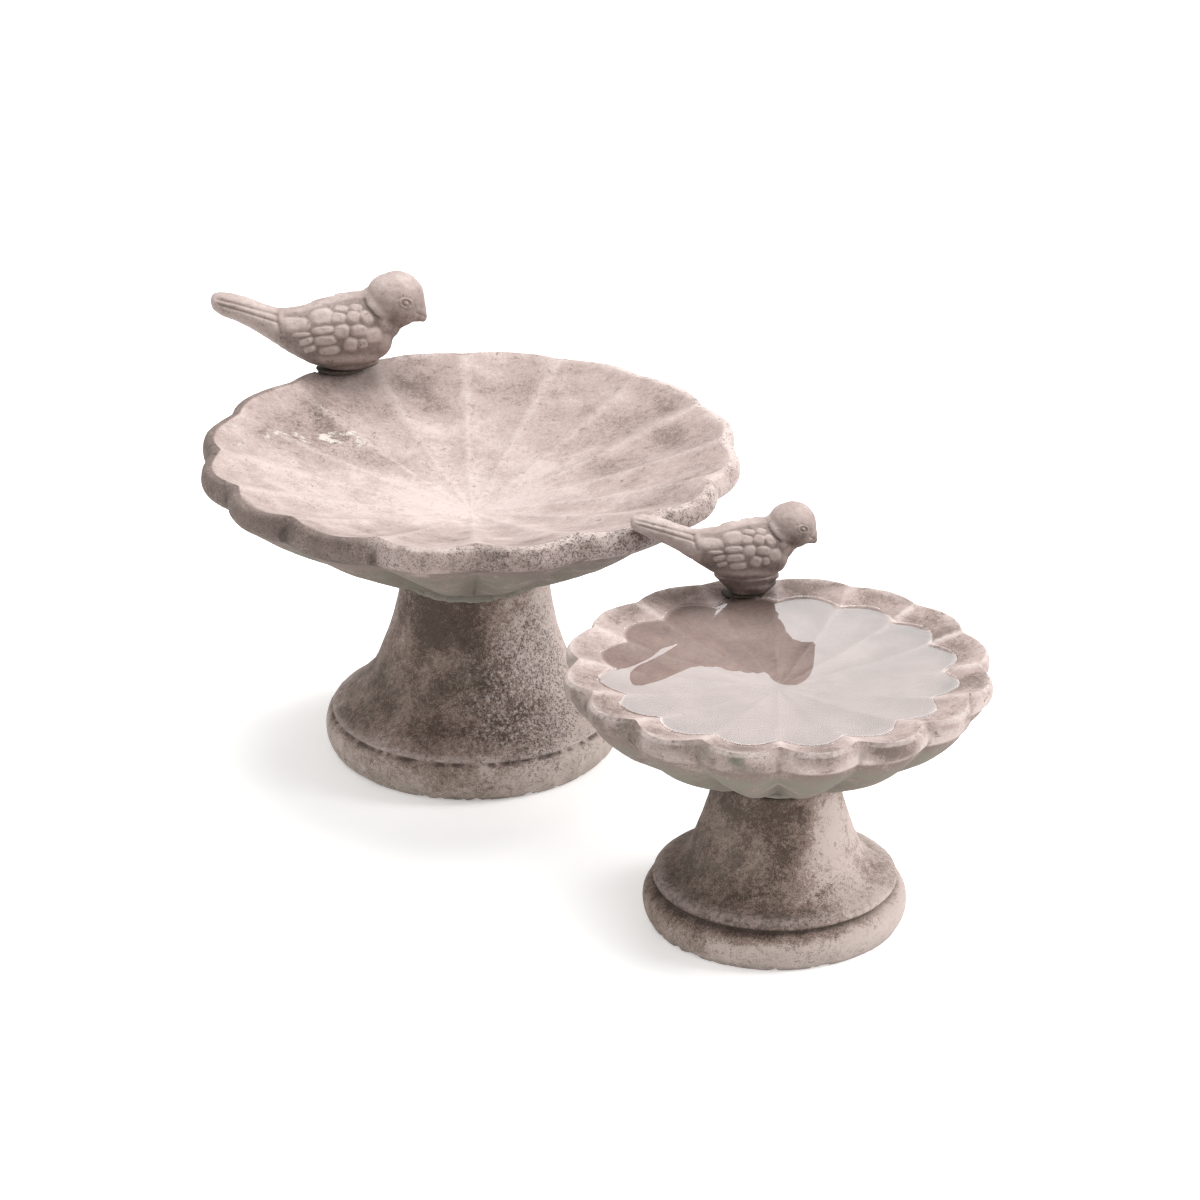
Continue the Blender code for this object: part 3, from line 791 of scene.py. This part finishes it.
def small_pedestal(bath):
    spots = ((30, 0.38, 14, 0.35), (-40, 0.2, 20, 0.3), (10, 0.22, 30, 0.25))
    obj, facts = make_pedestal(bath, 0.25, 400, spots)
    points, angle, share = facts["points"], facts["angle"], facts["share"]
    at = patches(bath, points)
    cloud = fractal(points, 24 * MM, 406, 4)
    patchy = fractal(points, 8 * MM, 408, 3)
    # Painted light: lighter on the right, facing the side lamp, and a little at the left edge.
    tone = 0.24 + 0.5 * one_side(-5, 50, angle) + 0.12 * one_side(-70, -100, angle)
    tone += 0.36 * cloud + 0.26 * patchy
    tone += 0.25 * at(38, 44, 46, 16)
    tone += (0.8 - 0.46 * one_side(-15, -50, angle)) * smooth(0.24, 0.14, share)
    # Painted shade: darker at the top, under the bowl.
    tone -= 0.22 * smooth(0.75, 1.0, share)
    tone -= 0.15 * at(-50, 46, 38, 20)
    wear = 0.4 * np.exp(-((share - 0.31) / 0.02) ** 2)
    # Painted light: paler on the front right of the foot, facing the side lamp.
    wear += 0.45 * one_side(-10, 50, angle) * smooth(0.2, 0.12, share)
    soil = 0.8 * facts["groove"] + 0.45 * smooth(0.93, 1.0, share) + 0.4 * facts["foot"]
    pitted = facts["pitted"] + 0.1 + 0.15 * fractal(points, 16 * MM, 426, 3)
    moss = 0.4 * smooth(0.2, 0.0, share) + 0.35 * at(-60, 42, 50, 30)
    store(obj, tone=tone, wear=wear, lime=0.12, pitted=pitted, soil=soil, moss=moss)
    return obj


# ---------- mortar ----------

BED_SHARE = 0.98  # of the CAD bed's length and width: the mortar is pointed back from the bird's edge


def make_neck_mortar(bath, squeeze, seed):
    """The ring of mortar at the neck. squeeze is how far its lumps hang down over the pedestal."""
    node = f"{bath['name']}_bowl_mortar"
    low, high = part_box(node)
    outer, inner = (high.x - low.x) / 2 - 0.3 * MM, 0.55 * (high.x - low.x) / 2
    turn = turns(MORTAR_STEPS)
    lump = 0.5 + 0.5 * fractal(ring_at(turn, 1, 0) * outer, 9 * MM, seed, 3)
    from_front = np.degrees(np.abs(np.angle(np.exp(1j * (turn + 0.03)))))
    hang = squeeze * lump * smooth(75, 20, from_front)
    rings = []
    for around_section in turns(MORTAR_RINGS):
        across, up = cos(around_section), sin(around_section)
        reach = inner + (outer - inner) * (0.5 + 0.5 * np.sign(across) * abs(across) ** 0.4)
        reach = reach + (lump - 0.5) * 1.4 * MM * (across > 0)
        middle, half = (low.z + high.z) / 2, (high.z - low.z) / 2
        height = middle + half * np.sign(up) * abs(up) ** 0.5 - hang * (across > 0) * (0.5 - 0.5 * up)
        reach = reach + 0.35 * hang * (across > 0) * (up < 0)
        rings.append(ring_at(turn, reach, height))
    points = np.concatenate(rings) + bath["axis"]
    obj = add_mesh(f"{node}_bead", points, turned_faces(len(rings), MORTAR_STEPS, False, False, wrap=True))
    fine = fractal(points, 3 * MM, seed + 5, 3)
    move(obj.data, read(obj.data, "co") + read(obj.data, "normal") * (0.3 * MM * fine)[:, None])
    store(obj, tone=0.45 + 0.3 * fine, wear=0.1, pitted=0.2, soil=0.25 * smooth(0.1, -0.4, fine), moss=0.7)
    return obj


def make_bird_bed(bath, seed):
    """The bed of mortar under a bird."""
    node = f"{bath['name']}_bird_mortar"
    obj = refined(f"{node}_bed", node, 0.45 * MM, 2)
    points = read(obj.data, "co")
    low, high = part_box(node)
    middle = np.array([(low.x + high.x) / 2, (low.y + high.y) / 2])
    points[:, :2] = middle + BED_SHARE * (points[:, :2] - middle)
    move(obj.data, points)
    grain = fractal(points, 2.5 * MM, seed, 3)
    push(obj, 0.25 * MM * grain - 0.1 * MM, node)
    # The bed is coloured very dark all over: a painted contact shadow under the bird.
    store(obj, tone=0.2 + 0.4 * grain, pitted=0.3, soil=0.5 + 0.3 * grain)
    return obj


# ---------- birds ----------

# Feathers on a flank: (along, up, half length, half height, tilt in degrees), in millimetres of a full-size
# bird. "Up" is as seen from 24 degrees above, so it takes in how far out the flank is.
FEATHERS = [
    (1.2, 34.6, 3.7, 2.2, -8), (9.6, 34.8, 3.4, 2.6, -20),
    (-0.8, 28.6, 4.0, 3.6, -12), (8.2, 29.0, 3.6, 4.0, -18), (15.4, 28.2, 2.9, 4.6, 35),
    (1.2, 20.0, 4.0, 4.2, -6), (11.2, 20.0, 4.6, 3.5, -6), (19.2, 16.4, 5.0, 4.6, 10),
    (6.4, 11.6, 3.7, 3.9, -14), (13.4, 12.0, 2.7, 2.9, 0),
    (-10.0, 29.8, 6.2, 5.2, 10), (-9.4, 21.2, 5.6, 2.5, 2),
    (-8.4, 14.6, 5.8, 2.9, 2), (-6.0, 8.2, 5.2, 2.4, 4),
    (-25.4, 25.6, 7.8, 4.6, -4), (-19.4, 14.4, 3.8, 2.2, 12), (-17.2, 9.6, 3.2, 1.8, 14),
    (-22.0, 19.0, 4.6, 1.5, -2),
]
TAIL_GROOVES = [((-70, 43.6), (-36, 33.4)), ((-69, 39.8), (-35, 27.8))]
RUMP_CREASE = [(-34.6, 38), (-35.2, 30), (-33.4, 20.5)]
NAPE_CREASE = [(13.5, 50), (14.9, 46.6), (16.4, 37.1), (20.6, 30.5), (25.0, 27.2), (31.3, 25.0)]
BELLY_RIDGE = [(-15.5, 4.2), (-4, 1.6), (12, 1.6), (24, 2.6), (29.5, 5.5)]
# Balls that round off the head, the cheeks and the beak: (centre, radii), in millimetres of a full-size bird.
LUMPS = [
    ((30.0, 0, 41.5), (14.5, 14, 14.6)),
    ((44.8, 0, 33.6), (6.4, 7.4, 7.6)),
    ((47.6, 0, 30.4), (3.7, 3.8, 4.2)),
]
BIRD_VOXEL, BIRD_PASSES = 0.62 * MM, 36  # the remesh of a full-size bird, and its smoothing
TAIL_ROOT = -28.5  # where a stretched tail starts
# The boat-shaped foot below KEEL_TOP: its middle and half length at the body's base, and what each adds for
# each unit of height, then its width as a share of its length.
KEEL_TOP = 4.5
KEEL_MIDDLE, KEEL_LENGTH, KEEL_WIDTH = (3.5, -0.33), (21.5, 0.68), 0.62
EYE = (38.6, 36.4)
GAPE = [(44.6, 30.6), (50.5, 28.6)]
BROW = [(33.6, 39.0), (37.0, 40.2), (41.6, 39.2)]
SEEN_SLOPE = tan(radians(24))


def from_line(along, up, line):
    """Distance of each (along, up) from a bent line."""
    least = np.full(len(along), 1e9)
    for (x0, z0), (x1, z1) in zip(line, line[1:]):
        length = (x1 - x0) ** 2 + (z1 - z0) ** 2
        share = np.clip(((along - x0) * (x1 - x0) + (up - z0) * (z1 - z0)) / length, 0, 1)
        least = np.minimum(least, np.hypot(along - x0 - share * (x1 - x0), up - z0 - share * (z1 - z0)))
    return least


def feather_pads(along, up):
    """1 on a feather's crown, and 0 between feathers."""
    most = np.zeros(len(along))
    for x, z, half_length, half_height, tilt in FEATHERS:
        c, s = cos(radians(tilt)), sin(radians(tilt))
        across, over = c * (along - x) + s * (up - z), c * (up - z) - s * (along - x)
        away = (np.abs(across / half_length) ** 2.7 + np.abs(over / half_height) ** 2.7) ** (1 / 2.7)
        most = np.maximum(most, smooth(1.3, 0.62, away))
    return most


def trim_keel(local):
    """Draws in what stands out of the boat-shaped foot under a bird."""
    height = local[:, 2]
    middle = KEEL_MIDDLE[0] + KEEL_MIDDLE[1] * height
    length = KEEL_LENGTH[0] + KEEL_LENGTH[1] * height
    width = KEEL_WIDTH * length
    along, across = (local[:, 0] - middle) / length, local[:, 1] / width
    out = np.hypot(along, across)
    share = np.where((height < KEEL_TOP) & (out > 1), 1 / np.maximum(out, 1), 1)
    return np.stack([middle + along * share * length, across * share * width, height], axis=1)


def make_bird(bath, seed):
    name, scale = bath["name"], bath["bird_scale"]
    node = f"{name}_bird"
    low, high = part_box(f"{name}_bird_pin")
    origin = np.array([(low.x + high.x) / 2, (low.y + high.y) / 2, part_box(node)[0].z + bath["bird_keel"]])
    yaw, pitch = radians(bath["bird_yaw"]), radians(bath["bird_pitch"])
    turn = np.array([[cos(yaw), -sin(yaw), 0], [sin(yaw), cos(yaw), 0], [0, 0, 1]])
    turn = turn @ np.array([[cos(pitch), 0, sin(pitch)], [0, 1, 0], [-sin(pitch), 0, cos(pitch)]])
    lumps = []
    for centre, radii in [*LUMPS, *bath["bird_base"]]:
        matrix = Matrix.Identity(4)
        for row in range(3):
            for column in range(3):
                matrix[row][column] = turn[row, column] * radii[column] * scale * MM
            matrix[row][3] = origin[row] + turn[row] @ centre * scale * MM
        lumps.append(matrix)

    def to_local(places):
        return (places - origin) @ turn / (scale * MM)

    def trimmed(places):
        return origin + trim_keel(to_local(places)) @ turn.T * scale * MM

    shape = trimmed if bath["bird_keel"] else None
    obj = refined(f"{node}_stone", node, BIRD_VOXEL * scale, BIRD_PASSES, lumps, shape)
    points, normals = read(obj.data, "co"), read(obj.data, "normal")
    facing = normals @ turn
    along, side, height = to_local(points).T
    along = np.where(along < TAIL_ROOT, TAIL_ROOT + (along - TAIL_ROOT) / bath["tail_stretch"], along)
    up = height - SEEN_SLOPE * np.abs(side)
    flank = smooth(0.12, 0.4, np.abs(facing[:, 1]))

    wing = smooth(-33.5, -30, along) * smooth(26.5, 22, along) * smooth(1.5, 6, up) * flank
    nape = np.interp(up, [z for _, z in NAPE_CREASE][::-1], [x for x, _ in NAPE_CREASE][::-1])
    wing *= smooth(0.5, -1.2, along - nape)
    pads = feather_pads(along, up)
    relief = wing * (1.5 * pads - 0.85)
    # Painted shade, built up from here: darker between the feathers and in the grooves and creases of the
    # tail, rump, nape, eye, brow and gape.
    crease_shade = 0.75 * wing * smooth(0.4, 0.0, pads)

    def groove(line, width, depth, where):
        """Cuts a groove and returns how deep each point is in it, from 0 to 1."""
        nonlocal relief
        cut = np.exp(-((from_line(along, up, line) / width) ** 2)) * where
        relief = relief - depth * cut
        return cut

    tail = smooth(-33.5, -37, along)
    for line in TAIL_GROOVES:
        crease_shade += 0.75 * groove(line, 1.0, 0.95, tail * smooth(-73, -67, along) * flank)
    crease_shade += 0.8 * groove(RUMP_CREASE, 1.1, 0.8, flank)
    relief -= 0.5 * tail * smooth(-37, -34.6, along)
    crease_shade += 0.6 * groove(NAPE_CREASE, 2.0, 0.5, smooth(0.2, 0.5, np.abs(facing[:, 1])))
    away = from_line(along, up, BELLY_RIDGE)
    relief += 0.7 * np.exp(-((away / 1.5) ** 2)) * flank
    belly = smooth(3.5, -1.5, up) * smooth(-30, -18, along) * smooth(34, 28, along)
    relief -= 0.5 * belly * flank
    eye_along, eye_up = along - EYE[0], up - EYE[1]
    ring = np.hypot(eye_along / 1.25, eye_up + 0.12 * eye_along)
    ring = np.where(facing[:, 1] ** 2 > 0.15, ring, 9)
    relief += 0.75 * np.exp(-((ring / 1.15) ** 2)) - 0.75 * np.exp(-(((ring - 1.75) / 0.55) ** 2))
    relief += 0.6 * np.exp(-(((ring - 2.75) / 0.6) ** 2))
    crease_shade += 0.75 * np.exp(-(((ring - 1.75) / 0.6) ** 2))
    crease_shade += 0.4 * groove(BROW, 0.8, 0.45, flank)
    crease_shade += 0.7 * groove(GAPE, 0.6, 0.5, flank * (along > 43))
    grain = fractal(points, 2.2 * MM, seed, 3)
    relief += 0.26 * grain + 0.35 * fractal(points, 9 * MM, seed + 7, 2) - 0.15
    base = smooth(0.6, 1.6, height + bath["bird_keel"] / MM / scale)
    push(obj, relief * scale * MM * base, node)

    upward = normals[:, 2]
    cloud = fractal(points, 16 * MM * scale, seed + 3, 3)
    # Painted light and shade: lighter where the surface faces up, darker on the belly beneath and on the
    # breast under the head.
    tone = 0.42 + 0.18 * smooth(0.0, 0.9, upward) + 0.22 * cloud - 0.26 * belly + 0.1 * pads * wing
    tone -= 0.14 * smooth(36, 26, up) * smooth(24, 32, along)
    # Paler on upward faces: partly rubbed stone, partly painted light from above.
    wear = 0.3 * smooth(0.45, 1.0, upward) * smooth(0.0, 0.4, cloud + 0.3)
    wear += 0.24 * pads * wing + 0.3 * tail * (1 - crease_shade)
    # Painted shade in the creases and on the belly, and a painted contact shadow at the bird's foot.
    soil = 0.62 * crease_shade + 0.3 * belly + 0.5 * (1 - base)
    store(obj, tone=tone, wear=wear, pitted=0.1 + 0.1 * grain, soil=soil)
    return obj


# ---------- water ----------

def make_water(bath, level):
    """The water in a bowl. Its edge and bottom go a little into the stone, so that no air shows there."""
    turn = turns(WATER_STEPS)
    tries = np.linspace(0.5, 0.995, 600) * bath["crest_share"] * bath["rim"]
    heights = np.array([basin_height(bath, radius, turn) for radius in tries])
    edge = tries[np.argmax(heights > level + CREEP_HEIGHT, axis=0)]
    drawn = (edge / (bath["crest_share"] * bath["rim"])) ** 3
    edge = edge - bath["notch_depth"] * (1 - lobe_of(bath, turn)) * drawn + WATER_BITE
    rings = []
    for share in [*np.linspace(0.03, 0.9, 30), *np.linspace(0.91, 1, 24)]:
        reach = share * edge
        creep = np.clip(1 - (edge - reach) / CREEP_WIDTH, 0, 1)
        rings.append(ring_at(turn, reach, level + CREEP_HEIGHT * creep**2.5))
    for share in np.linspace(0.99, 0.05, 30):
        reach = share * edge
        bottom = np.minimum(basin_height(bath, reach, turn) - WATER_SINK, level - 0.2 * MM)
        rings.append(ring_at(turn, reach, bottom))
    middle = [(0, 0, level), (0, 0, basin_height(bath, 1 * MM, 0.0) - WATER_SINK)]
    points = np.concatenate([*rings, middle]) + bath["axis"]
    obj = add_mesh("water", points, turned_faces(len(rings), WATER_STEPS, True, True))
    obj.data.materials.append(water_material())
    obj.visible_shadow = False
    return obj


# ---------- studio ----------

FLOOR_GLOW = 0.28  # the floor is a light table, so shadows on it stay faint


def add_area(name, place, aim, size, power, color=(1, 1, 1)):
    light = bpy.data.lights.new(name, "AREA")
    light.shape = "DISK"
    light.size = size
    light.energy = power
    light.color = color
    obj = bpy.data.objects.new(name, light)
    bpy.context.scene.collection.objects.link(obj)
    obj.location = place
    direction = Vector([a - b for a, b in zip(aim, place)])
    obj.rotation_euler = direction.to_track_quat("-Z", "Y").to_euler()
    return obj


def make_studio():
    scene = bpy.context.scene
    scene.view_settings.view_transform = "Standard"
    world = bpy.data.worlds.new("studio")
    world.use_nodes = True
    sky = world.node_tree.nodes["Background"]
    sky.inputs["Color"].default_value = (1.0, 0.99, 0.985, 1)
    sky.inputs["Strength"].default_value = 0.8
    scene.world = world
    add_area("overhead", (0.15, 0.3, 1.9), (0.08, -0.05, 0), 1.5, 34)
    add_area("side", (1.7, -0.1, 1.2), (0.1, -0.1, 0.1), 1.0, 24)
    card = add_area("card", (0.3, 2.5, 1.34), (0.15, -0.2, 0.14), 2.2, 23, (0.93, 0.98, 1.0))
    card.data.shape, card.data.size_y = "RECTANGLE", 1.0
    card.visible_diffuse = card.visible_transmission = card.visible_camera = False

    bpy.ops.mesh.primitive_grid_add(x_subdivisions=8, y_subdivisions=8, size=14, location=(0, 0, -0.02 * MM))
    floor = bpy.context.object
    floor.name = "floor"
    paper = Nodes("paper")
    grain = paper.noise(4 * MM, 4.0)
    color = paper.blend(grain, (0.93, 0.93, 0.925), (0.97, 0.97, 0.965))
    paper.give("Base Color", color)
    paper.give("Roughness", 0.9)
    paper.give("Specular IOR Level", 0.1)
    paper.give("Emission Color", (1, 1, 1, 1))
    paper.give("Emission Strength", FLOOR_GLOW)
    floor.data.materials.append(paper.material)


def make_camera():
    data = bpy.data.cameras.new("camera")
    data.lens = CAMERA_LENS
    data.sensor_width = 36
    data.clip_start, data.clip_end = 0.1, 100
    camera = bpy.data.objects.new("camera", data)
    camera.location = CAMERA_PLACE
    camera.rotation_euler = (radians(CAMERA_PITCH), 0, 0)
    bpy.context.scene.collection.objects.link(camera)
    bpy.context.scene.camera = camera


def dress(obj, material, body, slot, *nodes):
    """Gives a piece its material, and puts it in the place of its CAD nodes."""
    obj.data.materials.clear()
    obj.data.materials.append(material)
    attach(obj, body)
    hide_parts(*nodes)


def main():
    make_camera()
    large, small = measure("large"), measure("small")
    level = small["crest"] - WATER_DROP
    bowls = stone("bowl_stone", (0.48, 0.40, 0.375), (0.345, 0.272, 0.25), (0.17, 0.128, 0.112))
    feet = stone(
        "pedestal_stone", (0.48, 0.40, 0.365), (0.24, 0.176, 0.148), (0.072, 0.049, 0.038), 1.25, 30 * MM
    )
    birds = stone("bird_stone", (0.46, 0.38, 0.355), (0.32, 0.255, 0.233), (0.12, 0.09, 0.078), 0.45, 14 * MM)
    mortar = stone(
        "mortar_stone", (0.32, 0.305, 0.26), (0.21, 0.195, 0.16), (0.09, 0.08, 0.062), 0.6, 12 * MM
    )
    pins = steel("pin_steel")
    for bath, make_basin, make_foot, squeeze, seed in (
        (large, large_bowl, large_pedestal, 4.5 * MM, 500),
        (small, lambda b: small_bowl(b, level), small_pedestal, 0.6 * MM, 600),
    ):
        name, body = bath["name"], f"{bath['name']}_bath"
        dress(make_basin(bath), bowls, body, "bowl_stone", f"{name}_bowl")
        dress(make_foot(bath), feet, body, "pedestal_stone", f"{name}_pedestal")
        dress(make_neck_mortar(bath, squeeze, seed), mortar, body, "mortar", f"{name}_bowl_mortar")
        dress(make_bird_bed(bath, seed + 20), mortar, body, "mortar", f"{name}_bird_mortar")
        dress(make_bird(bath, seed + 40), birds, body, "bird_stone", f"{name}_bird")
        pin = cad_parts[f"{name}_bird_pin"]
        pin.data.materials.clear()
        pin.data.materials.append(pins)
    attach(make_water(small, level), "small_bath")
    make_studio()


main()
